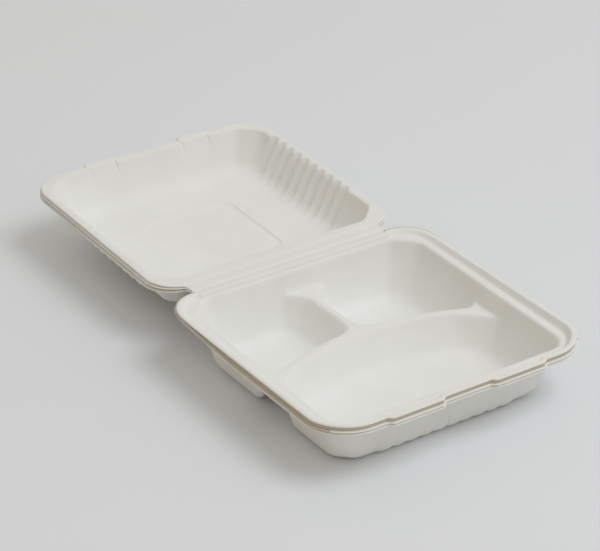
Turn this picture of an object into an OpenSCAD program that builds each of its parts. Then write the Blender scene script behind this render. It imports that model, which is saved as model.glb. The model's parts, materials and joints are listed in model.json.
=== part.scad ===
// Hinged three-compartment food container, moulded in one piece from plant fibre.
// It lies open, as it leaves the mould: the tray in front, the lid behind the fold.
// Millimetres. X runs along the fold, Y from the tray to the lid, Z is up.

/* [Tray] */
// Outer width of the tray's rim
tray_w = 230; // [200:1:260]
// Length of the tray from the fold to the front edge of its rim
tray_len = 221; // [200:1:250]
// Height of the tray's rim above the surface it stands on
tray_h = 47.5; // [40:0.5:60]
// Thickness of the pressed fibre in the tray
tray_wall = 0.9; // [0.6:0.05:1.2]
// Width of the sloped land between the rim's outer edge and the opening, front and sides
tray_land = 16.5; // [14:0.5:20]
// Distance from the fold to the opening, at the top of the wall beside the fold
tray_fold_land = 12.5; // [10:0.5:16]
// How far the tray's walls lean in between the opening and the floor
tray_lean = 10.5; // [7:0.5:13]
// Radius between the tray's walls and floor
tray_floor_r = 9; // [5:0.5:11]
// Corner cut of the opening, along each side
tray_corner = 17; // [12:0.5:20]
// Corner cut at the floor, along each side
tray_floor_corner = 11; // [8:0.5:14]

/* [Tray rim] */
// Corner radius of the tray's rim
rim_r = 28; // [22:1:32]
// Width of the flat top of the raised border
border_w = 3; // [2:0.5:5]
// Width of the slope from the border down to the ledge the lid sits on
border_slope = 2.6; // [1.5:0.1:4]
// Width of the thin web between the fold and the raised border
web_len = 1.6; // [0.8:0.1:2.4]
// Drop from the border to the ledge beside the fold
ledge_drop_fold = 2.4; // [1.6:0.1:3]
// Drop from the border to the ledge at the front
ledge_drop_front = 5.4; // [4:0.1:6]
// Distance from the middle to the inner end of each latch swelling
latch_in = 21.5; // [16:0.5:26]
// Distance from the middle to the outer end of each latch swelling
latch_out = 67; // [62:0.5:72]
// How far the rim swells outwards there, to take the lid's latch tabs
latch_bulge = 3; // [2:0.1:4]

/* [Dividers] */
// Depth of the divider tops below the rim
divider_drop = 18; // [14:0.5:24]
// Width of the divider tops
divider_w = 7; // [5:0.5:10]
// How far each divider face leans out between its top and the floor
divider_lean = 14; // [10:0.5:16]
// Distance from the fold to the middle of the cross divider, at the centre
cross_mid = 89.5; // [80:0.5:100]
// How much further from the fold the cross divider meets the side walls
cross_bow = 23; // [10:1:28]
// Share of that bow which is already reached half way along each arm
cross_bend = 0.33; // [0.25:0.01:0.5]
// Corner cut where the dividers meet the walls
gusset = 11.5; // [6:0.5:13]

/* [Tray flutes] */
// Flutes along the foot of the front wall
tray_flutes = 10; // [6:1:12]
// Spacing of the front flutes
tray_flute_pitch = 11.7; // [9:0.1:12]
// Depth of the front flutes at their foot
tray_flute_depth = 1.8; // [0.8:0.1:2.4]

/* [Lid] */
// Outer width of the lid's rim, which drops inside the tray's raised border
lid_w = 213; // [180:1:214]
// Length of the lid from the fold to its far edge
lid_len = 213; // [190:1:214]
// Depth of the lid below its own rim
lid_depth = 32.5; // [26:0.5:40]
// Thickness of the pressed fibre in the lid
lid_wall = 0.6; // [0.5:0.05:1.2]
// Width of the lid's flange, sides and far edge
lid_land = 7.5; // [6:0.5:9]
// Corner radius of the lid's flange
lid_rim_r = 26; // [20:1:30]
// Distance from the fold to the lid's flange
neck_len = 9; // [7:0.5:12]
// Distance from the fold to the near edge of the lid's opening
lid_near = 20.5; // [18:0.5:26]
// How far the lid's walls lean in between the opening and the floor
lid_lean = 14; // [9:0.5:16]
// Radius between the lid's walls and floor
lid_floor_r = 13; // [8:0.5:15]
// Corner cut of the lid's opening, along each side
lid_corner = 15; // [11:0.5:18]
// Angle at which the open lid rises from the level of the tray's rim
lid_rise = 1.5; // [0:0.1:3]
// Width of the uncut strip of the fold
fold_w = 172; // [150:1:176]
// Running gap between the two halves along the fold
fold_gap = 0.3; // [0.2:0.05:0.5]

/* [Lid flutes] */
// Flutes down each side wall of the lid
lid_flutes = 10; // [6:1:12]
// Spacing of the lid's flutes
lid_flute_pitch = 11.2; // [9:0.1:12]
// Depth of the lid's flutes near their foot
lid_flute_depth = 3.8; // [1.5:0.1:4.5]
// Distance from the fold to the middle of the row of flutes
lid_flute_mid = 122; // [110:1:126]

/* [Lid latches and panel] */
// Distance from the middle to the inner end of each latch tab
tab_in = 31; // [27:0.5:34]
// Distance from the middle to the outer end of each latch tab
tab_out = 58; // [54:0.5:61]
// Height of the latch tabs above the lid's flange
tab_rise = 2.9; // [2:0.1:3.2]
// How far the latch tabs stand out from the lid's far edge
tab_out_step = 1.4; // [0.5:0.1:2]
// Width of the recessed panel in the lid's floor
panel_w = 86; // [60:1:110]
// Length of the recessed panel
panel_len = 84; // [60:1:100]
// Distance from the fold to the middle of the recessed panel
panel_mid = 109.5; // [100:0.5:120]
// Depth of the recessed panel
panel_dip = 1.1; // [0.5:0.1:1.6]

/* [Rim edge] */
// Height of the skirt from the rim's top to the upper lip
skirt_h = 4.6; // [3.5:0.1:6]
// Height of the whole turned-down edge
edge_h = 7.4; // [6:0.1:8]
// How far the two trim lips stand out
lip_out = 1; // [0.5:0.1:1.4]

/* [Hidden] */
arc_steps = 7;
latch_ramp = 4;
tab_ramp = 1.2;
lip_t = 0.8;
flute_cuts = 3;
paper = [0.93, 0.92, 0.89];
paper_lid = [0.95, 0.94, 0.91];
// The fold lies between the middle of the part and the tray, so that the middle is the origin
tray_reach = tray_len + latch_bulge + lip_out + 0.4;
lid_reach = (lid_len + tab_out_step + lip_out + 0.4) * cos(lid_rise);
fold_y = (tray_reach - lid_reach) / 2;
tray_floor_z = -tray_h + tray_wall;

// Outline helpers: an outline is a list of corners, counter-clockwise seen from above
function unit(v) = v / norm(v);
function left(v) = [-v[1], v[0]];
function mix(a, b, t) = a + (b - a) * t;
function clamp01(t) = min(1, max(0, t));
function box_outline(x, y0, y1) = [[-x, y0], [x, y0], [x, y1], [-x, y1]];

// Moves side i of a convex outline inwards by amounts[i]
function inset(outline, amounts) =
    let (n = len(outline))
    [for (i = [0 : n - 1])
        let (
            before = left(unit(outline[i] - outline[(i + n - 1) % n])),
            after = left(unit(outline[(i + 1) % n] - outline[i])),
            d1 = amounts[(i + n - 1) % n],
            d2 = amounts[i],
            det = before[0] * after[1] - before[1] * after[0]
        )
        outline[i] + [
            (d1 * after[1] - d2 * before[1]) / det,
            (before[0] * d2 - after[0] * d1) / det
        ]
    ];

// Cuts corner i of an outline by legs[i] along both of its sides
function cut_corners(outline, legs) =
    let (n = len(outline))
    [for (i = [0 : n - 1])
        each [
            outline[i] + legs[i] * unit(outline[(i + n - 1) % n] - outline[i]),
            outline[i] + legs[i] * unit(outline[(i + 1) % n] - outline[i])
        ]
    ];

// Rounds every corner with the same number of steps
function round_corners(outline, r, steps) =
    let (n = len(outline))
    [for (i = [0 : n - 1])
        let (
            u = unit(outline[(i + n - 1) % n] - outline[i]),
            v = unit(outline[(i + 1) % n] - outline[i]),
            half = acos(u * v) / 2,
            turn = sign(v[0] * u[1] - v[1] * u[0]) * (180 - 2 * half),
            middle = outline[i] + unit(u + v) * (r / sin(half)),
            start = outline[i] + u * (r / tan(half)) - middle,
            first = atan2(start[1], start[0])
        )
        for (j = [0 : steps])
            let (a = first + turn * j / steps)
            middle + r * [cos(a), sin(a)]
    ];

// Adds stations along side i, each [distance from the side's middle, distance outwards]
function add_stations(points, outline, per_corner, stations) =
    let (n = len(outline))
    [for (i = [0 : n - 1])
        let (
            a = outline[i],
            b = outline[(i + 1) % n],
            d = unit(b - a)
        )
        each concat(
            [for (j = [0 : per_corner - 1]) points[i * per_corner + j]],
            [for (s = stations[i]) (a + b) / 2 + d * s[0] - left(d) * s[1]]
        )
    ];

// A closed solid through a list of rings with the same number of points
module loft(rings) {
    m = len(rings[0]);
    n = len(rings);
    points = [for (r = rings) each r];
    sides = [for (j = [0 : n - 2], i = [0 : m - 1])
        let (
            a = j * m + i,
            b = j * m + (i + 1) % m
        )
        each [[a, a + m, b + m], [a, b + m, b]]
    ];
    floor_cap = [for (i = [0 : m - 1]) i];
    top_cap = [for (i = [m - 1 : -1 : 0]) (n - 1) * m + i];
    polyhedron(points = points, faces = concat([floor_cap], sides, [top_cap]), convexity = 10);
}

function flat_ring(points, z) = [for (p = points) [p[0], p[1], z]];

// Quarter turn between wall and floor: [share of the radius inwards, height above the floor]
floor_turn = [for (a = [0, 30, 60, 90]) [1 - cos(a), 1 - sin(a)]];

// Tray rim
latch_stations = [-latch_out - 2, -latch_out + 2, -latch_in - 2, -latch_in + 2,
    latch_in - 2, latch_in + 2, latch_out - 2, latch_out + 2];
function in_latch(x) =
    clamp01((abs(x) - latch_in + latch_ramp / 2) / latch_ramp)
    * clamp01((latch_out + latch_ramp / 2 - abs(x)) / latch_ramp);
function ledge_z(p) = -mix(ledge_drop_fold, ledge_drop_front, -p[1] / tray_len);
function tray_skirt(y) = mix(0.04, 1, clamp01((-y - 4) / 26));

function rim_outline(u) = box_outline(tray_w / 2 - u, -tray_len + u, -web_len - u);
function rim_points(u, bulge) =
    [for (p = add_stations(
        round_corners(rim_outline(u), rim_r - u, arc_steps),
        rim_outline(u),
        arc_steps + 1,
        [[for (x = latch_stations) [x, bulge * in_latch(x)]], [], [], []]
    )) [p[0], min(p[1], -web_len)]];
function rim_level(u, z) = flat_ring(rim_points(u, latch_bulge), z);
function rim_skirt(u, drop) =
    [for (p = rim_points(u, latch_bulge)) [
        p[0], p[1], -tray_wall - (drop - tray_wall) * tray_skirt(p[1])
    ]];
function rim_ledge(u, dz) =
    [for (p = rim_points(u, latch_bulge)) [p[0], p[1], ledge_z(p) + dz]];

// Opening of the tray at a depth below the rim's top plane; out widens it on every side
function tray_wall_share(z) = (-z - ledge_drop_fold) / (tray_h - ledge_drop_fold);
function opening_outline(z, out) =
    let (lean = tray_lean * tray_wall_share(z) - out)
    box_outline(
        tray_w / 2 - tray_land - lean,
        -tray_len + tray_land + lean,
        -tray_fold_land - lean
    );
function opening_corner(z) = mix(tray_corner, tray_floor_corner, tray_wall_share(z));
function opening_points(z, out) =
    let (
        outline = opening_outline(z, out),
        leg = opening_corner(z) + 0.59 * out
    )
    add_stations(
        round_corners(cut_corners(outline, [leg, leg, leg, leg]), 7, 3),
        outline,
        8,
        [[for (x = latch_stations) [x, 0]], [], [], []]
    );
function opening_ledge(out, dz) =
    [for (p = opening_points(-ledge_drop_fold, out)) [p[0], p[1], ledge_z(p) + dz]];

module tray_upper() {
    t = tray_wall;
    foot = border_w + border_slope;
    loft([
        flat_ring(opening_points(-divider_drop - t, t), -divider_drop - t),
        opening_ledge(t, -t - 1.2),
        opening_ledge(t + 0.6, -t),
        rim_ledge(foot + 0.3, -t),
        rim_level(border_w - 0.2, -t),
        rim_level(t + 0.3, -t),
        rim_skirt(0.1, edge_h),
        rim_skirt(-lip_out - 0.2, edge_h),
        rim_skirt(-lip_out - 0.2, edge_h - lip_t),
        rim_skirt(-0.3, edge_h - lip_t - 0.2),
        rim_skirt(-0.3, skirt_h + lip_t + 0.2),
        rim_skirt(-lip_out, skirt_h + lip_t),
        rim_skirt(-lip_out, skirt_h),
        rim_skirt(-0.2, skirt_h - 0.2),
        rim_level(0, -0.5),
        rim_level(0.5, 0),
        rim_level(border_w, 0),
        rim_ledge(foot - 0.3, 0.4),
        rim_ledge(foot + 0.5, 0),
        opening_ledge(-0.1 + 2.2, 0),
        opening_ledge(0.5, -0.7),
        opening_ledge(0, -2.2),
        flat_ring(opening_points(-divider_drop, 0), -divider_drop)
    ]);
}

// Compartments: an outline at the divider tops, with the lean of each side down to the floor
deep_share = (divider_drop - ledge_drop_fold) / (tray_h - ledge_drop_fold);
wall_x = tray_w / 2 - tray_land - tray_lean * deep_share;
wall_front = -tray_len + tray_land + tray_lean * deep_share;
wall_fold = -tray_fold_land - tray_lean * deep_share;
wall_lean = tray_lean * (1 - deep_share);
half_div = divider_w / 2;
bend_x = wall_x / 2;
inner_slope = cross_bow * cross_bend / bend_x;
outer_slope = cross_bow * (1 - cross_bend) / bend_x;
function slant(slope) = sqrt(1 + slope * slope);
function cross_y(x, side) =
    -cross_mid - inner_slope * min(abs(x), bend_x) - outer_slope * max(abs(x) - bend_x, 0)
    + side * half_div * slant(abs(x) < bend_x ? inner_slope : outer_slope);

// The right-hand small compartment: both halves of the arm, side wall, fold wall, centre divider
small_outline = [
    [half_div, cross_y(half_div, 1)],
    [bend_x, cross_y(bend_x, 1)],
    [wall_x, cross_y(wall_x, 1)],
    [wall_x, wall_fold],
    [half_div, wall_fold]
];
small_lean = [divider_lean, divider_lean, wall_lean, wall_lean, divider_lean];
small_flare = [1, 1, 0, 0, 1];
small_legs = [[12, 9], [9, 9], [gusset, 8], [opening_corner(-divider_drop), tray_floor_corner],
    [gusset, 8]];

// The large compartment: front wall, side wall, both arms of the cross divider, side wall
large_outline = [
    [-wall_x, wall_front],
    [wall_x, wall_front],
    [wall_x, cross_y(wall_x, -1)],
    [bend_x, cross_y(bend_x, -1)],
    [0, cross_y(0, -1)],
    [-bend_x, cross_y(bend_x, -1)],
    [-wall_x, cross_y(wall_x, -1)]
];
large_lean = [wall_lean, wall_lean, divider_lean, divider_lean, divider_lean, divider_lean,
    wall_lean];
large_flare = [0, 0, 1, 1, 1, 1, 0];
large_legs = [
    [opening_corner(-divider_drop), tray_floor_corner],
    [opening_corner(-divider_drop), tray_floor_corner],
    [gusset, 8],
    [13, 13],
    [16, 16],
    [13, 13],
    [gusset, 8]
];
front_flute_stations = [for (i = [0 : tray_flutes * flute_cuts])
    [(i / flute_cuts - tray_flutes / 2) * tray_flute_pitch, i % flute_cuts == 0 ? 0 : 1]
];

// Ring of a compartment at share s of its depth, moved in by e and out by the wall
function pocket_points(outline, leans, flares, legs, flutes, s, e, flare, grow, depth) =
    let (
        n = len(outline),
        moved = inset(outline, [for (i = [0 : n - 1])
            leans[i] * s + e - flares[i] * flare - grow
        ]),
        cuts = [for (i = [0 : n - 1]) mix(legs[i][0], legs[i][1], s) + 0.59 * (grow - e)],
        rounding = min([for (c = cuts) c]) * 0.55
    )
    add_stations(
        round_corners(cut_corners(moved, cuts), rounding, 3),
        moved,
        8,
        [for (i = [0 : n - 1])
            i == 0 ? [for (f = flutes) [f[0], f[1] * depth]] : []
        ]
    );

// The rings of one compartment from floor to divider top; grow is 0 inside and the wall outside
function pocket_rings(outline, leans, flares, legs, flutes, grow) =
    let (
        floor_z = tray_floor_z - (grow > 0 ? tray_wall : 0),
        r = tray_floor_r + grow,
        turn_top = floor_z + r,
        top_z = -divider_drop - (grow > 0 ? tray_wall / 2 : 0),
        full = -divider_drop - tray_floor_z,
        share = function (z) (-divider_drop - z) / full
    )
    concat(
        [for (i = [3 : -1 : 0])
            let (z = floor_z + r * floor_turn[i][1])
            flat_ring(
                pocket_points(outline, leans, flares, legs, flutes, share(z),
                    0.8 * r * floor_turn[i][0], 0, grow,
                    tray_flute_depth * (1 - floor_turn[i][0])),
                z
            )
        ],
        [for (step = [[4, 0, 0.25], [1.2, 0.25, 0], [0.25, 1, 0]])
            let (z = top_z - step[0])
            flat_ring(
                pocket_points(outline, leans, flares, legs, flutes, share(z), 0, step[1], grow,
                    tray_flute_depth * step[2] * 0),
                z
            )
        ],
        [flat_ring(
            pocket_points(outline, leans, flares, legs, flutes, 0, 0.02, 1.8, grow, 0),
            grow > 0 ? top_z : top_z + 0.05
        )]
    );

module compartments(grow) {
    loft(pocket_rings(large_outline, large_lean, large_flare, large_legs,
        front_flute_stations, grow));
    for (side = [0, 1])
        mirror([side, 0, 0])
            loft(pocket_rings(small_outline, small_lean, small_flare, small_legs, [], grow));
}

// The web from the raised border to the fold, seen along the fold
web_profile = [
    [-web_len - 1.2, -0.45],
    [-fold_gap / 2, -0.5],
    [-fold_gap / 2, -1.05],
    [-web_len - 1.2, -tray_wall + 0.05]
];

module web() {
    loft([for (x = [fold_w / 2, -fold_w / 2]) [for (p = web_profile) [x, p[0], p[1]]]]);
}

// Resize with zeros keeps every size, and makes the thin skin one mesh
module tray() {
    color(paper)
        translate([0, fold_y, tray_h])
            resize([0, 0, 0])
                difference() {
                    union() {
                        tray_upper();
                        web();
                        compartments(tray_wall);
                    }
                    compartments(0);
                }
}

// Lid rim
tab_stations = [-tab_out - 0.6, -tab_out + 0.6, -tab_in - 0.6, -tab_in + 0.6,
    tab_in - 0.6, tab_in + 0.6, tab_out - 0.6, tab_out + 0.6];
function in_tab(x) =
    clamp01((abs(x) - tab_in + tab_ramp / 2) / tab_ramp)
    * clamp01((tab_out + tab_ramp / 2 - abs(x)) / tab_ramp);
function near_far_edge(y) = clamp01((y - lid_len + 30) / 8);
function tab_lift(p) = tab_rise * in_tab(p[0]) * near_far_edge(p[1]);
function lid_skirt(y) = mix(0.08, 1, clamp01((y - neck_len - 3) / 22));
lid_edge_h = edge_h - 0.4;
lid_skirt_h = skirt_h - 0.9;

function lid_outline(u) = box_outline(lid_w / 2 - u, neck_len + u, lid_len - u);
function lid_rim_points(u) =
    add_stations(
        round_corners(lid_outline(u), lid_rim_r - min(u, 12), arc_steps),
        lid_outline(u),
        arc_steps + 1,
        [[], [], [for (x = tab_stations) [x, tab_out_step * in_tab(x)]], []]
    );
function lid_level(u, z, lift) =
    [for (p = lid_rim_points(u)) [p[0], p[1], z + lift * tab_lift(p)]];
function lid_skirt_ring(u, drop) =
    [for (p = lid_rim_points(u)) [
        p[0], p[1], -lid_wall - (drop - lid_wall) * lid_skirt(p[1]) + tab_lift(p)
    ]];

module lid_rim() {
    t = lid_wall;
    loft([
        lid_level(12, -t, 0),
        lid_level(lid_land + 1.5, -t, 1),
        lid_level(t + 0.3, -t, 1),
        lid_skirt_ring(0.1, lid_edge_h),
        lid_skirt_ring(-lip_out - 0.2, lid_edge_h),
        lid_skirt_ring(-lip_out - 0.2, lid_edge_h - lip_t),
        lid_skirt_ring(-0.3, lid_edge_h - lip_t - 0.2),
        lid_skirt_ring(-0.3, lid_skirt_h + lip_t + 0.2),
        lid_skirt_ring(-lip_out, lid_skirt_h + lip_t),
        lid_skirt_ring(-lip_out, lid_skirt_h),
        lid_skirt_ring(-0.2, lid_skirt_h - 0.2),
        lid_level(0, -0.45, 1),
        lid_level(0.5, 0, 1),
        lid_level(lid_land + 1.5, 0, 1),
        lid_level(12, 0, 0)
    ]);
}

// Lid wall: the flutes start at the flange and grow deeper towards the floor
lid_mid = (lid_near + lid_len - lid_land) / 2;
side_flutes = [for (i = [0 : lid_flutes * flute_cuts])
    [(i / flute_cuts - lid_flutes / 2) * lid_flute_pitch, i % flute_cuts == 0 ? 0 : 1]
];
function lid_opening(inwards) =
    box_outline(lid_w / 2 - lid_land - inwards, lid_near + inwards, lid_len - lid_land - inwards);
function lid_points(inwards, leg, flute, tab, grow) =
    let (
        outline = lid_opening(inwards - grow),
        shift = lid_flute_mid - lid_mid,
        cut = leg + 0.59 * grow,
        room = outline[2][1] - cut - 1.2 - lid_flute_mid,
        squeeze = min(1, 2 * room / (lid_flutes * lid_flute_pitch))
    )
    add_stations(
        round_corners(cut_corners(outline, [cut, cut, cut, cut]), 0.4 * cut, 3),
        outline,
        8,
        [
            [],
            [for (f = side_flutes) [f[0] * squeeze + shift, f[1] * flute]],
            [for (x = tab_stations) [x, tab * in_tab(x)]],
            [for (f = side_flutes) [f[0] * squeeze - shift, f[1] * flute]]
        ]
    );

// The rings of the lid's pocket from its floor to its rim
function lid_rings(grow) =
    let (
        r = lid_floor_r + grow,
        floor_z = -lid_depth + (grow > 0 ? 0 : lid_wall),
        full = lid_depth - lid_wall,
        lean = function (z) lid_lean * clamp01(-z / full)
    )
    concat(
        [for (i = [3 : -1 : 0])
            let (z = floor_z + r * floor_turn[i][1])
            flat_ring(
                lid_points(
                    lean(z) + 0.75 * r * floor_turn[i][0],
                    mix(lid_corner, lid_corner - 4, -z / full),
                    lid_flute_depth * (1 - floor_turn[i][0]) * (i == 0 ? 0.9 : 1.1),
                    0,
                    grow
                ),
                z
            )
        ],
        [flat_ring(lid_points(lean(-10), lid_corner - 1, lid_flute_depth * 0.6, 0.4, grow), -10)],
        [flat_ring(lid_points(lean(-1.5), lid_corner, lid_flute_depth * 0.3, 1.6, grow), -1.5)]
    );
function lifted(points, z) = [for (p = points) [p[0], p[1], z + tab_lift(p)]];

module lid_pocket_outer() {
    mouth = lid_points(0, lid_corner, 0, 1.8, lid_wall);
    inner_mouth = lid_points(3, lid_corner, 0, 1.8, lid_wall);
    plain_mouth = lid_points(6, lid_corner, 0, 0, lid_wall);
    loft(concat(
        lid_rings(lid_wall),
        [lifted(mouth, -lid_wall / 2), lifted(inner_mouth, -lid_wall / 2)],
        [flat_ring(plain_mouth, -lid_wall / 2)]
    ));
}

module lid_pocket_inner() {
    mouth = lid_points(0, lid_corner, 0, 1.8, 0);
    wide_mouth = lid_points(-0.8, lid_corner, 0, 1.8, 0);
    loft(concat(
        lid_rings(0),
        [lifted(mouth, -0.8), lifted(wide_mouth, 0.01), flat_ring(wide_mouth, tab_rise + 2)]
    ));
}

// The recessed panel in the lid's floor, between two heights
module floor_panel(grow, z0, z1) {
    outline = box_outline(panel_w / 2 + grow, panel_mid - panel_len / 2 - grow,
        panel_mid + panel_len / 2 + grow);
    points = round_corners(outline, 9 + grow, 6);
    loft([flat_ring(points, z0), flat_ring(points, z1)]);
}

// The neck between the fold and the lid's flange, seen along the fold
neck_profile = [
    [fold_gap / 2, -0.5],
    [neck_len - 3.5, -0.5],
    [neck_len - 1, 0],
    [neck_len + 3, 0],
    [neck_len + 3, -lid_wall],
    [neck_len - 1, -lid_wall - 0.4],
    [neck_len - 3.5, -0.5 - lid_wall],
    [fold_gap / 2, -1.05]
];

module neck() {
    loft([for (x = [fold_w / 2, -fold_w / 2]) [for (p = neck_profile) [x, p[0], p[1]]]]);
}

module lid() {
    color(paper_lid)
        translate([0, fold_y, tray_h])
            rotate([lid_rise, 0, 0])
                resize([0, 0, 0])
                    difference() {
                        union() {
                            lid_rim();
                            lid_pocket_outer();
                            neck();
                            floor_panel(lid_wall, -lid_depth - panel_dip, -lid_depth + lid_wall / 2);
                        }
                        lid_pocket_inner();
                        floor_panel(0, -lid_depth - panel_dip + lid_wall, -lid_depth + 2 * lid_wall);
                    }
}

tray();
lid();
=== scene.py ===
"""Finished look of the hinged moulded-fibre container: skins, fibre material, stage and light."""
import json
import math
import bpy
import numpy as np
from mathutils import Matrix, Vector


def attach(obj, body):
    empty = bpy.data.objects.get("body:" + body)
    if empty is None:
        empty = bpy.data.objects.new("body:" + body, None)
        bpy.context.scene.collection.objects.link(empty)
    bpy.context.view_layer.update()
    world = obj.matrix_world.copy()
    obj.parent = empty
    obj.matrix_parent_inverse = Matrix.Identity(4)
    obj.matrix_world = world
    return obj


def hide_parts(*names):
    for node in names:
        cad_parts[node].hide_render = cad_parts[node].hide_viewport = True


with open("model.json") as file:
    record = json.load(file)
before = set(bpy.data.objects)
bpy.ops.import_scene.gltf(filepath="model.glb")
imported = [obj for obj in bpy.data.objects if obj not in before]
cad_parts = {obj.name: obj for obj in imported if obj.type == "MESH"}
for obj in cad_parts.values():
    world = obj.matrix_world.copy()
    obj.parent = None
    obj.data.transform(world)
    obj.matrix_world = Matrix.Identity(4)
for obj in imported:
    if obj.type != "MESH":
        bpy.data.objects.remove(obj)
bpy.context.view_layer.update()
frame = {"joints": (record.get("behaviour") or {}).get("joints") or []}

# Sizes in millimetres, measured from the fold line (y = 0) and the rim's top (z = 0)
FOLD_Y = frame["joints"][0]["pos_m"][1] * 1000
FOLD_Z = frame["joints"][0]["pos_m"][2] * 1000
LID_RISE = math.radians(1.5)
HALF_GAP = 0.15
WEB = 1.6
# The uncut strip of the fold fades out between these distances from the middle
STRIP_FADE = (84.6, 86.2)

# Tray: half width and length of its rim, opening, walls and ledge
TRAY_HALF = 114.4
TRAY_LENGTH = 221.0
TRAY_CORNER_FRONT = 34.0
TRAY_CORNER_BACK = 26.0
OPEN_HALF = 100.2
OPEN_BACK = -11.9
OPEN_FRONT = -206.6
TRAY_FLOOR = -46.58
WALL_TOP = -2.4
TRAY_LEAN = 10.5
LEDGE_BACK = 2.4
LEDGE_FRONT = 5.4
TRAY_FIBRE = 0.8
# Width of the band around the tray's grid that the border and the stepped edge take up
TRAY_BAND = 9.0

# Dividers, and the curve of the cross divider
DIVIDER_TOP = -18.0
DIVIDER_LEAN = 14.0
DIVIDER_HALF = 3.5
CROSS = 89.5
BOW_SLOPE = 0.0575
BOW_CURVE = 0.00228
BOW_ROUND = 5.0

# Tray flutes and latch swellings
TRAY_FLUTES = 10
TRAY_FLUTE_PITCH = 11.7
TRAY_FLUTE_DEPTH = 2.5
LATCH_IN = 21.5
LATCH_OUT = 67.0
LATCH_BULGE = 3.0

# Lid: half width and length of its flange, opening, walls and neck
LID_HALF = 106.5
LID_LENGTH = 213.0
LID_CORNER = 26.0
LID_NECK = 9.0
LID_FLANGE = 7.5
LID_NEAR = 20.5
LID_FLOOR = -31.88
LID_LEAN = 14.0
LID_FIBRE = 0.55
LID_BAND = 7.0

# Lid flutes, latch tabs and floor panel
LID_FLUTES = 10
LID_FLUTE_PITCH = 11.2
LID_FLUTE_MID = 122.0
TAB_IN = 30.2
TAB_OUT = 56.8
TAB_RISE = 1.5
TAB_STEP = 0.9
TAB_CREASES = (31.2, 55.8)
CREASE_WIDTH = 1.1
PANEL_HALF = 42.0
PANEL_CORNER = 9.0
PANEL_MID = 109.5
PANEL_DIP = 1.1

# Painted shade of the stepped edge's rings: plain fibre, painted shade in the grooves, and painted
# shade on the sides only
PLAIN = 0
PAINTED_SHADE = 1
SIDE_PAINTED_SHADE = 2

ROOT_2 = math.sqrt(2)


# Shared number helpers
def ramp(x, a, b):
    """Smooth step from 0 at a to 1 at b."""
    t = np.clip((x - a) / (b - a), 0, 1)
    return t * t * (3 - 2 * t)


def smin(a, b, k):
    """Smaller of two values, blended over k."""
    h = np.clip(0.5 + 0.5 * (b - a) / k, 0, 1)
    return b + (a - b) * h - k * h * (1 - h)


def smax(a, b, k):
    """Larger of two values, blended over k."""
    return -smin(-a, -b, k)


def wall_profile(d, lean, top, floor, edge_r, floor_r, ledge):
    """Height at a distance d inside a leaning wall, rounded at the ledge and the floor."""
    slope = (top - floor) / lean
    phi = math.atan(slope)
    start = (top - ledge) / slope
    edge_run = edge_r * math.tan(phi / 2)
    z = top - slope * d
    e = np.clip(d - start + edge_run, 0, edge_r * math.sin(phi))
    edge_z = ledge - (edge_r - np.sqrt(edge_r ** 2 - e ** 2))
    z = np.where(d < start + edge_run * math.cos(phi), edge_z, z)
    floor_run = floor_r * math.tan(phi / 2)
    f = np.clip(lean + floor_run - d, 0, floor_r * math.sin(phi))
    floor_z = floor + floor_r - np.sqrt(floor_r ** 2 - f ** 2)
    return np.where(d > lean - floor_run * math.cos(phi), floor_z, z)


def facet(x, y, corner_x, corner_y, end, top_leg, floor_leg, lean):
    """Distance inside a corner cut, scaled so that it leans as far as the walls beside it."""
    inside = ((corner_x - x) + (corner_y - y) * end) / ROOT_2 - top_leg / ROOT_2
    own_lean = ROOT_2 * lean + (floor_leg - top_leg) / ROOT_2
    return inside * lean / own_lean


def scallop(x, pitch, count):
    """Round flutes between sharp ridges: 0 at each ridge and 1 in the middle of each flute."""
    u = x / pitch + count / 2
    f = u - np.floor(u)
    parabola = 1 - (2 * f - 1) ** 2
    shape = np.sqrt(np.clip(parabola, 0, 1)) * 0.75 + parabola * 0.25
    return np.where((u > 0) & (u < count), shape, 0)


def wave(x, pitch, count, centre):
    """Soft flutes between rounded ribs: 0 at each rib and 1 in the middle of each flute."""
    u = (x - centre) / pitch + count / 2
    shape = (0.5 - 0.5 * np.cos(2 * math.pi * u)) ** 0.85
    return np.where((u > 0) & (u < count), shape, 0)


def between(x, inner, outer, fade):
    """1 between two distances from the middle, fading over fade on both sides of each."""
    ax = np.abs(x)
    return ramp(ax, inner - fade, inner + fade) * (1 - ramp(ax, outer - fade, outer + fade))


def on_strip(x):
    """1 on the uncut strip of the fold, and 0 beyond its ends."""
    return 1 - ramp(np.abs(x), *STRIP_FADE)


# Tray surface
def in_latch(x):
    return between(x, LATCH_IN, LATCH_OUT, 2)


def ledge_height(y):
    return -(LEDGE_BACK + (LEDGE_FRONT - LEDGE_BACK) * (-y) / TRAY_LENGTH)


def bow(x):
    """How much further from the fold the cross divider lies than at its middle."""
    return BOW_SLOPE * np.sqrt(x * x + BOW_ROUND ** 2) + BOW_CURVE * x * x


def tray_opening(ax, y):
    """Distance inside the walls and corner cuts of the tray's opening."""
    blend = 3.2
    side = OPEN_HALF - ax
    front = y - OPEN_FRONT
    back = OPEN_BACK - y
    # The front wall's flutes fade out half way up
    share = np.clip(front / TRAY_LEAN, 0, 2)
    reach = ramp(share, 0.45, 1.0) * (1 - ramp(share, 1.3, 1.9))
    front = front + TRAY_FLUTE_DEPTH * scallop(ax, TRAY_FLUTE_PITCH, TRAY_FLUTES) * reach
    corner_front = facet(ax, y, OPEN_HALF, OPEN_FRONT, -1, 8.5, 12.5, TRAY_LEAN)
    corner_back = facet(ax, y, OPEN_HALF, OPEN_BACK, 1, 16.6, 15.0, TRAY_LEAN)
    walls = smin(smin(side, front, blend), back, blend)
    return smin(walls, smin(corner_front, corner_back, blend), blend)


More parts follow.
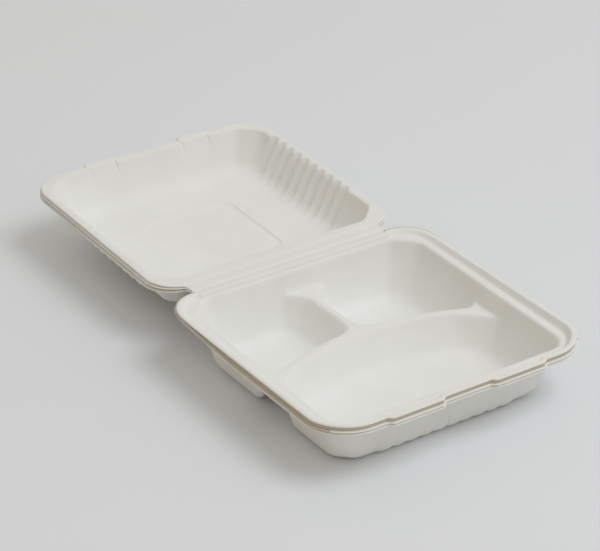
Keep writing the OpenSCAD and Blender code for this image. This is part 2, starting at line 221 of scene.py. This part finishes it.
def tray_height(x, y):
    """Height of the tray's upper surface."""
    ax = np.abs(x)
    opening = tray_opening(ax, y)
    # Divider faces are scaled to the walls' lean, counted from the rim
    share = (WALL_TOP - DIVIDER_TOP) / (WALL_TOP - TRAY_FLOOR)
    scale = TRAY_LEAN * (1 - share) / DIVIDER_LEAN
    start = TRAY_LEAN * share
    cross = -CROSS - bow(ax)
    stretch = np.sqrt(1 + (BOW_SLOPE + 2 * BOW_CURVE * ax) ** 2)
    up = start + ((y - cross) / stretch - DIVIDER_HALF) * scale
    down = start + ((cross - y) / stretch - DIVIDER_HALF) * scale
    tee = start + (ax - DIVIDER_HALF) * scale
    # Corner cuts where the dividers meet the walls
    cut_scale = 0.75 / 1.414
    wall_x = OPEN_HALF - start
    meeting = -CROSS - bow(wall_x)
    cut_up = start + ((wall_x - ax) + (y - meeting - DIVIDER_HALF) - 12.0) * cut_scale
    cut_down = start + ((wall_x - ax) + (meeting - y - DIVIDER_HALF) - 13.5) * cut_scale
    cut_tee = start + ((ax - DIVIDER_HALF) + (OPEN_BACK - start - y) - 14.0) * cut_scale
    # The small compartments, the large one, and the level of the divider tops
    cut_blend = 2.4
    wall_blend = 2.6
    top_blend = 0.9
    small = smin(smin(smin(up, tee, 6.5), cut_up, cut_blend), cut_tee, cut_blend)
    small = smin(small, opening, wall_blend)
    large = smin(smin(down, cut_down, cut_blend), opening, wall_blend)
    plate = smin(opening, start, 1.2)
    d = smax(smax(small, large, top_blend), plate, top_blend)
    return wall_profile(d, TRAY_LEAN, WALL_TOP, TRAY_FLOOR, 2.5, 9.5, ledge_height(y))


# Lid surface
def in_tab(x):
    return between(x, TAB_IN, TAB_OUT, 0.7)


def tab_lift(x, y):
    return TAB_RISE * in_tab(x) * ramp(y, LID_LENGTH - 14, LID_LENGTH - 8)


def panel_dip(ax, y):
    """Depth of the recessed panel in the lid's floor."""
    qx = ax - (PANEL_HALF - PANEL_CORNER)
    qy = np.abs(y - PANEL_MID) - (PANEL_HALF - PANEL_CORNER)
    beyond = np.hypot(np.maximum(qx, 0), np.maximum(qy, 0))
    within = np.minimum(np.maximum(qx, qy), 0)
    return PANEL_DIP * (1 - ramp(beyond + within - PANEL_CORNER, -1.6, 0.2))


def lid_height(x, y):
    """Height of the lid's upper surface, which is the inside of its pocket."""
    blend = 3.4
    ax = np.abs(x)
    open_half = LID_HALF - LID_FLANGE
    open_far = LID_LENGTH - LID_FLANGE
    side = open_half - ax
    far = open_far - y
    near = y - LID_NEAR
    # Flutes grow deeper down the side walls and end on the floor's fillet
    share = np.clip(side / LID_LEAN, 0, 2)
    depth = 3.2 + ramp(share, 0.0, 0.85)
    flute = wave(y, LID_FLUTE_PITCH, LID_FLUTES, LID_FLUTE_MID)
    side = side + flute * depth * (1 - ramp(share, 0.95, 1.62))
    # The latch tabs press the far wall out a little, with a crease at each of their ends
    share = np.clip(far / LID_LEAN, 0, 2)
    crease = sum(np.exp(-((ax - place) / CREASE_WIDTH) ** 2) for place in TAB_CREASES)
    far = far + 0.7 * in_tab(x) * (1 - ramp(share, -0.1, 0.3))
    far = far + crease * (1 - ramp(share, -0.05, 0.33))
    corner_far = facet(ax, y, open_half, open_far, 1, 16.5, 11.5, LID_LEAN)
    corner_near = facet(ax, y, open_half, LID_NEAR, -1, 16.5, 6.0, LID_LEAN)
    corners = smin(corner_far, corner_near, blend)
    d = smin(smin(side, far, blend), smin(near, corners, blend), blend)
    z = wall_profile(d, LID_LEAN, 0.0, LID_FLOOR, 1.6, 14.0, tab_lift(x, y))
    return z - panel_dip(ax, y)


# Grids whose lines crowd where the surface turns
def lines(spans):
    """Grid lines from (start, end, count) spans."""
    out = []
    for start, end, count in spans:
        out.extend(np.linspace(start, end, count, endpoint=False))
    out.append(spans[-1][1])
    return np.array(out)


def mirrored(half):
    return np.concatenate([-half[::-1], half[1:]])


def round_corners(gx, gy, radii):
    """The grid's points with its corners rounded, by one radius at each end."""
    half = gx[0, -1]
    px, py = gx.copy(), gy.copy()
    for edge, end, r in ((gy[0, 0], -1, radii[0]), (gy[-1, 0], 1, radii[1])):
        a = np.clip(np.abs(gx) - (half - r), 0, r)
        b = np.clip(end * (gy - edge) + r, 0, r)
        both = (a > 0) & (b > 0)
        round_a = a * np.sqrt(1 - b * b / (2 * r * r))
        round_b = b * np.sqrt(1 - a * a / (2 * r * r))
        px = np.where(both, np.sign(gx) * (half - r + round_a), px)
        py = np.where(both, edge + end * (round_b - r), py)
    return px, py


def outward(points, half, y0, y1, radii):
    """Directions that point out of the grid's rounded outline at its edge points."""
    r = np.where(points[:, 1] < (y0 + y1) / 2, radii[0], radii[1])
    cx = np.clip(points[:, 0], r - half, half - r)
    cy = np.clip(points[:, 1], y0 + radii[0], y1 - radii[1])
    n = np.stack([points[:, 0] - cx, points[:, 1] - cy], -1)
    return n / np.linalg.norm(n, axis=1)[:, None]


def skin(xs, ys, radii, warp, height, rows):
    """Points, faces and painted-shade indices of a warped height grid with rings out to its
    trimmed edge.
    """
    gx, gy = np.meshgrid(xs, ys)
    px, py = round_corners(gx, gy, radii)
    py = py + warp(px, py)
    grid = np.stack([px, py, height(px, py)], -1).reshape(-1, 3)
    idx = np.arange(px.size).reshape(px.shape)
    quads = [idx[:-1, :-1], idx[:-1, 1:], idx[1:, 1:], idx[1:, :-1]]
    faces = [np.stack(quads, -1).reshape(-1, 4)]
    shades = [np.zeros(len(faces[0]), int)]
    last = np.concatenate([idx[0, :-1], idx[:-1, -1], idx[-1, :0:-1], idx[:0:-1, 0]])
    edge = grid[last]
    points = [grid]
    count = len(grid)
    for row, shade in rows(edge, outward(edge, xs[-1], ys[0], ys[-1], radii)):
        ring = np.arange(count, count + len(row))
        points.append(row)
        shades.append(shade.astype(int))
        faces.append(np.stack([last, ring, np.roll(ring, -1), np.roll(last, -1)], -1))
        count += len(row)
        last = ring
    return np.concatenate(points), np.concatenate(faces), np.concatenate(shades)


def pressed_piece(name, surface, tilt, thickness, materials):
    """A piece of moulded fibre: a surface tilted about the fold, with its thickness below it."""
    points, faces, shades = surface
    c, s = math.cos(tilt), math.sin(tilt)
    x, y, z = points.T
    points = np.stack([x, y * c - z * s, y * s + z * c], -1)
    points = (points + np.array([0, FOLD_Y, FOLD_Z])) / 1000
    mesh = bpy.data.meshes.new(name)
    mesh.from_pydata(points.tolist(), [], faces.tolist())
    mesh.validate()
    obj = bpy.data.objects.new(name, mesh)
    bpy.context.scene.collection.objects.link(obj)
    for material in materials:
        mesh.materials.append(material)
    mesh.polygons.foreach_set("material_index", shades.tolist())
    mesh.polygons.foreach_set("use_smooth", [True] * len(mesh.polygons))
    solid = obj.modifiers.new("skin", "SOLIDIFY")
    solid.thickness = thickness / 1000
    solid.offset = -1
    solid.use_even_offset = False
    return obj


# Tray rings from the ledge to the border's top: distance from the rim's outer edge and share of
# the ledge's depth, then place and share of depth beside the fold, with a small groove at the foot
TRAY_SLOPE = (
    (8.6, 1.0, -10.55, 1.0),
    (8.2, 0.99, -10.2, 1.08),
    (7.7, 0.96, -9.9, 1.16),
    (7.2, 0.89, -9.6, 1.15),
    (6.6, 0.75, -9.3, 0.95),
    (5.9, 0.55, -9.0, 0.6),
    (5.2, 0.33, -8.65, 0.25),
    (4.7, 0.17, -8.3, 0.05),
    (4.3, 0.07, -7.9, 0.0),
    (3.9, 0.02, -7.2, 0.0),
    (3.3, 0.0, -5.8, 0.0),
)
# Over the border's edge, or down into the valley of the fold: distance and height, for each
TRAY_BORDER = (
    (1.8, 0.0, -4.6, -0.02),
    (1.0, -0.03, -4.0, -0.1),
    (0.55, -0.14, -3.4, -0.28),
    (0.22, -0.36, -2.8, -0.5),
    (0.04, -0.7, -2.2, -0.74),
)
# Down the stepped edge: distance from the rim's outer edge, drop and painted shade
TRAY_EDGE = (
    (0.0, 1.0, PLAIN),
    (0.12, 1.25, PAINTED_SHADE),
    (0.75, 1.5, PAINTED_SHADE),
    (1.05, 1.8, PAINTED_SHADE),
    (1.1, 3.9, PAINTED_SHADE),
    (0.8, 4.15, PAINTED_SHADE),
    (-0.45, 4.4, SIDE_PAINTED_SHADE),
    (-0.82, 4.65, SIDE_PAINTED_SHADE),
    (-0.8, 5.1, SIDE_PAINTED_SHADE),
    (-0.3, 5.3, SIDE_PAINTED_SHADE),
    (0.45, 5.45, PAINTED_SHADE),
    (0.45, 6.1, PAINTED_SHADE),
    (-0.5, 6.35, PLAIN),
    (-0.95, 6.6, PLAIN),
    (-1.05, 6.95, PLAIN),
    (-0.85, 7.25, PAINTED_SHADE),
    (-0.6, 7.35, PAINTED_SHADE),
)
EDGE_START = 0.7


def edge_drop(drop, skirt):
    """Height of a ring of the stepped edge, where skirt is the share of its full height."""
    return -(EDGE_START + (drop - EDGE_START) * skirt)


def tray_rows(p, n):
    """Rings over the raised border and down the stepped edge, with the web to the fold."""
    skirt = 0.08 + 0.92 * ramp(-p[:, 1], 0.0, 112.0)
    bulge = LATCH_BULGE * in_latch(p[:, 0]) * ramp(-p[:, 1], 150.0, 190.0)
    web = on_strip(p[:, 0]) * (p[:, 1] > -30)
    ledge = ledge_height(p[:, 1])
    out = []

    def row(u, z, share, fold_y, fold_z, shade=PLAIN):
        q = p[:, :2] + n * (TRAY_BAND - u)
        q[:, 1] -= bulge * share
        q[:, 1] = q[:, 1] * (1 - web) + fold_y * web
        z = z * (1 - web) + fold_z * web
        # The middle lip gets painted shade on the sides only and stays light at the front
        shaded = np.abs(n[:, 0]) > 0.8 if shade == SIDE_PAINTED_SHADE else shade
        out.append((np.concatenate([q, z[:, None]], 1), shaded * (web < 0.5)))

    for u, k, fold_y, fold_k in TRAY_SLOPE:
        row(u, ledge * k, min(1.0, (TRAY_BAND - u) / 2.4), fold_y, ledge * fold_k)
    for u, z, fold_y, fold_z in TRAY_BORDER:
        row(u, z, 1.0, fold_y, fold_z)
    reaches = np.linspace(-WEB, -HALF_GAP - 0.02, len(TRAY_EDGE))
    for (u, drop, shade), reach in zip(TRAY_EDGE, reaches):
        row(u, edge_drop(drop, skirt), 1.0, reach, -1.33 - 0.3 * reach, shade)
    return out


# Lid rings over the flange's edge: distance from the outer edge and height, then place and height
# beside the fold, where a shallow band rises again to a crest
LID_BORDER = (
    (4.5, 0, 13.6, 0),
    (1.6, 0, 12.9, -0.12),
    (0.9, -0.03, 12.2, -0.5),
    (0.5, -0.14, 11.2, -0.72),
    (0.2, -0.36, 9.4, -0.64),
    (0.03, -0.7, 6.6, -0.36),
)
# Down the stepped edge: distance, drop and painted shade, then place and height of the crest and
# the fold
LID_EDGE = (
    (0.0, 0.95, PLAIN, 4.8, -0.15),
    (0.15, 1.15, PAINTED_SHADE, 4.0, -0.16),
    (0.75, 1.35, PAINTED_SHADE, 3.5, -0.14),
    (0.8, 2.1, PAINTED_SHADE, 3.1, -0.13),
    (0.2, 2.3, PLAIN, 2.8, -0.14),
    (-0.6, 2.45, PLAIN, 2.5, -0.2),
    (-0.92, 2.75, PLAIN, 2.3, -0.32),
    (-0.85, 3.1, PLAIN, 2.15, -0.5),
    (-0.2, 3.3, PLAIN, 2.0, -0.8),
    (0.9, 3.5, PAINTED_SHADE, 1.85, -1.1),
    (0.95, 5.6, PAINTED_SHADE, 1.7, -1.35),
    (0.3, 5.8, PLAIN, 1.45, -1.5),
    (-0.7, 6.0, PLAIN, 1.1, -1.5),
    (-1.0, 6.3, PLAIN, 0.7, -1.44),
    (-1.0, 6.65, PLAIN, 0.4, -1.36),
    (-0.7, 6.92, PAINTED_SHADE, 0.17, -1.3),
)


def lid_rows(p, n):
    """Rings over the flange and down its stepped edge, with the neck back to the fold."""
    skirt = 0.08 + 0.92 * ramp(p[:, 1], -6.0, 36.0)
    neck = on_strip(p[:, 0]) * (p[:, 1] < 30)
    far_end = p[:, 1] > 150
    lift = tab_lift(p[:, 0], p[:, 1] + LID_BAND) * far_end
    step = TAB_STEP * in_tab(p[:, 0]) * far_end
    out = []

    def row(u, z, fold_y, fold_z, shade=PLAIN):
        q = p[:, :2] + n * (LID_BAND - u)
        q[:, 1] += step
        q[:, 1] = q[:, 1] * (1 - neck) + fold_y * neck
        z = (z + lift) * (1 - neck) + fold_z * neck
        # Rings marked for painted shade take the darker groove fibre, except on the neck
        out.append((np.concatenate([q, z[:, None]], 1), shade * (neck < 0.5)))

    for u, z, fold_y, fold_z in LID_BORDER:
        row(u, z, fold_y, fold_z)
    for u, drop, shade, fold_y, fold_z in LID_EDGE:
        row(u, edge_drop(drop, skirt), fold_y, fold_z, shade)
    return out


# Material: matt pressed plant fibre, clouded and with a felt-like tooth
def fibre_group():
    """Shared effect: a clouded tint and the height of a fine tooth."""
    group = bpy.data.node_groups.new("pressed_fibre", "ShaderNodeTree")
    group.interface.new_socket("Tint", in_out="INPUT", socket_type="NodeSocketColor")
    group.interface.new_socket("Color", in_out="OUTPUT", socket_type="NodeSocketColor")
    group.interface.new_socket("Tooth", in_out="OUTPUT", socket_type="NodeSocketFloat")
    nodes, links = group.nodes, group.links
    inside = nodes.new("NodeGroupInput")
    outside = nodes.new("NodeGroupOutput")
    place = nodes.new("ShaderNodeTexCoord")
    cloud = nodes.new("ShaderNodeTexNoise")
    cloud.inputs["Scale"].default_value = 28.0
    cloud.inputs["Detail"].default_value = 4.0
    links.new(place.outputs["Object"], cloud.inputs["Vector"])
    shade = nodes.new("ShaderNodeValToRGB")
    shade.color_ramp.elements[0].position = 0.3
    shade.color_ramp.elements[0].color = (0.965, 0.962, 0.955, 1)
    shade.color_ramp.elements[1].position = 0.7
    links.new(cloud.outputs["Fac"], shade.inputs["Fac"])
    tinted = nodes.new("ShaderNodeMix")
    tinted.data_type = "RGBA"
    tinted.blend_type = "MULTIPLY"
    tinted.inputs[0].default_value = 1.0
    links.new(inside.outputs["Tint"], tinted.inputs[6])
    links.new(shade.outputs["Color"], tinted.inputs[7])
    links.new(tinted.outputs[2], outside.inputs["Color"])
    tooth = nodes.new("ShaderNodeTexNoise")
    tooth.inputs["Scale"].default_value = 1400.0
    tooth.inputs["Detail"].default_value = 3.0
    links.new(place.outputs["Object"], tooth.inputs["Vector"])
    links.new(tooth.outputs["Fac"], outside.inputs["Tooth"])
    return group


pressed = fibre_group()


def fibre(name, tint):
    """Matt fibre in the given tint."""
    material = bpy.data.materials.new(name)
    material.use_nodes = True
    nodes, links = material.node_tree.nodes, material.node_tree.links
    shader = nodes["Principled BSDF"]
    shader.inputs["Roughness"].default_value = 0.78
    shader.inputs["Specular IOR Level"].default_value = 0.22
    effect = nodes.new("ShaderNodeGroup")
    effect.node_tree = pressed
    effect.inputs["Tint"].default_value = (*tint, 1)
    bump = nodes.new("ShaderNodeBump")
    bump.inputs["Strength"].default_value = 0.12
    bump.inputs["Distance"].default_value = 0.0002
    links.new(effect.outputs["Color"], shader.inputs["Base Color"])
    links.new(effect.outputs["Tooth"], bump.inputs["Height"])
    links.new(bump.outputs["Normal"], shader.inputs["Normal"])
    return material


FIBRE_TINT = (0.94, 0.945, 0.935)
tray_fibre = fibre("tray_fibre", FIBRE_TINT)
lid_fibre = fibre("lid_fibre", FIBRE_TINT)
# Painted shade: the stepped edge's grooves get a darker, browner fibre that stands in for the
# shade and warm bounce light inside them
painted_groove_shade = fibre("painted_groove_shade", (0.66, 0.60, 0.50))

# Tray: grid lines follow the walls, the dividers and the front flutes
tray_x = mirrored(lines([
    (0, 2.2, 2), (2.2, 6.5, 5), (6.5, 14, 5), (14, 30, 11), (30, 61, 21), (61, 76, 9), (76, 84, 8),
    (84, 91, 7), (91, 103.4, 17), (103.4, TRAY_HALF - TRAY_BAND, 2),
]))
tray_y = lines([
    (-TRAY_LENGTH + TRAY_BAND, -210.5, 2), (-210.5, -202, 13), (-202, -190, 16), (-190, -184, 7),
    (-184, -118, 15), (-118, -108, 8), (-108, -93.5, 14), (-93.5, -82.5, 14), (-82.5, -68, 14),
    (-68, -58, 6), (-58, -36, 10), (-36, -26, 8), (-26, -19, 8), (-19, -WEB - TRAY_BAND, 14),
])


def tray_warp(x, y):
    """Bends the grid's lines along the cross divider."""
    return -bow(x) * ramp(y, -206.0, -112.0) * (1 - ramp(y, -82.0, -14.0))


tray_radii = (TRAY_CORNER_FRONT - TRAY_BAND, TRAY_CORNER_BACK - TRAY_BAND)
tray_surface = skin(tray_x, tray_y, tray_radii, tray_warp, tray_height, tray_rows)
tray = pressed_piece("tray_skin", tray_surface, 0.0, TRAY_FIBRE, (tray_fibre, painted_groove_shade))
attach(tray, "tray")
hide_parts("tray")

# Lid: grid lines follow the side walls and their flutes
lid_x = mirrored(lines([
    (0, 29, 6), (29, 33, 10), (33, 40.5, 4), (40.5, 44, 7), (44, 55.5, 5), (55.5, 60, 10),
    (60, 72, 7), (72, 84, 14), (84, 89, 7), (89, LID_HALF - LID_BAND, 16),
]))
lid_y = lines([
    (LID_NECK + LID_BAND, 21, 5), (21, 24, 5), (24, 36, 10), (36, 50, 10), (50, 66, 8),
    (66, 178, 120), (178, 190, 10), (190, 202, 10), (202, LID_LENGTH - LID_BAND, 6),
])


def no_warp(x, y):
    return np.zeros_like(x)


lid_radii = (LID_CORNER - LID_BAND, LID_CORNER - LID_BAND)
lid_surface = skin(lid_x, lid_y, lid_radii, no_warp, lid_height, lid_rows)
lid = pressed_piece("lid_skin", lid_surface, LID_RISE, LID_FIBRE, (lid_fibre, painted_groove_shade))
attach(lid, "lid")
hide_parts("lid")

# Stage: a pale table
bpy.ops.mesh.primitive_plane_add(size=8, location=(0, 0, 0))
floor = bpy.context.object
floor.name = "stage_floor"
floor_material = bpy.data.materials.new("stage_floor")
floor_material.use_nodes = True
floor_shader = floor_material.node_tree.nodes["Principled BSDF"]
floor_shader.inputs["Base Color"].default_value = (0.88, 0.905, 0.94, 1)
floor_shader.inputs["Roughness"].default_value = 0.9
floor_shader.inputs["Specular IOR Level"].default_value = 0.1
floor.data.materials.append(floor_material)

# Sky: neutral from above, warm and dim towards the left horizon
world = bpy.data.worlds.new("studio")
bpy.context.scene.world = world
world.use_nodes = True
sky_nodes, sky_links = world.node_tree.nodes, world.node_tree.links
background = sky_nodes["Background"]
background.inputs["Strength"].default_value = 0.545
direction = sky_nodes.new("ShaderNodeTexCoord")
height_share = sky_nodes.new("ShaderNodeVectorMath")
height_share.operation = "DOT_PRODUCT"
height_share.inputs[1].default_value = (0.22, 0.0, 1.0)
sky_links.new(direction.outputs["Generated"], height_share.inputs[0])
sky = sky_nodes.new("ShaderNodeValToRGB")
sky.color_ramp.elements[0].position = 0.0
sky.color_ramp.elements[0].color = (0.36, 0.24, 0.07, 1)
sky.color_ramp.elements[1].position = 0.42
sky.color_ramp.elements[1].color = (1.0, 0.965, 0.885, 1)
sky_links.new(height_share.outputs["Value"], sky.inputs["Fac"])
sky_links.new(sky.outputs["Color"], background.inputs["Color"])

# Key: a soft light from the front right, aimed at the origin
key_data = bpy.data.lights.new("key", "AREA")
key_data.shape = "RECTANGLE"
key_data.size = 1.8
key_data.size_y = 1.8
key_data.energy = 30.5
key_data.color = (0.945, 0.985, 1.06)
key = bpy.data.objects.new("key", key_data)
bpy.context.scene.collection.objects.link(key)
key.location = (1.1, -1.35, 2.8)
key.rotation_euler = (-Vector(key.location)).to_track_quat("-Z", "Y").to_euler()

# Camera fitted to the photo, whose width and focal length are in pixels
PHOTO_WIDTH = 600
FOCAL_PIXELS = 2553.0
SENSOR = 36.0
DISTANCE = 1.901
azimuth, elevation = math.radians(-34.04), math.radians(29.11)
away = Vector((
    math.sin(azimuth) * math.cos(elevation),
    -math.cos(azimuth) * math.cos(elevation),
    math.sin(elevation),
))
aim = Vector((-8.0, FOLD_Y - 24.5, FOLD_Z)) / 1000
lens = bpy.data.cameras.new("camera")
lens.sensor_fit = "HORIZONTAL"
lens.sensor_width = SENSOR
lens.lens = FOCAL_PIXELS / PHOTO_WIDTH * SENSOR
lens.clip_end = 50.0
camera = bpy.data.objects.new("camera", lens)
bpy.context.scene.collection.objects.link(camera)
bpy.context.scene.camera = camera
camera.location = aim + away * DISTANCE
camera.rotation_euler = away.to_track_quat("Z", "Y").to_euler()
bpy.context.scene.view_settings.view_transform = "Standard"
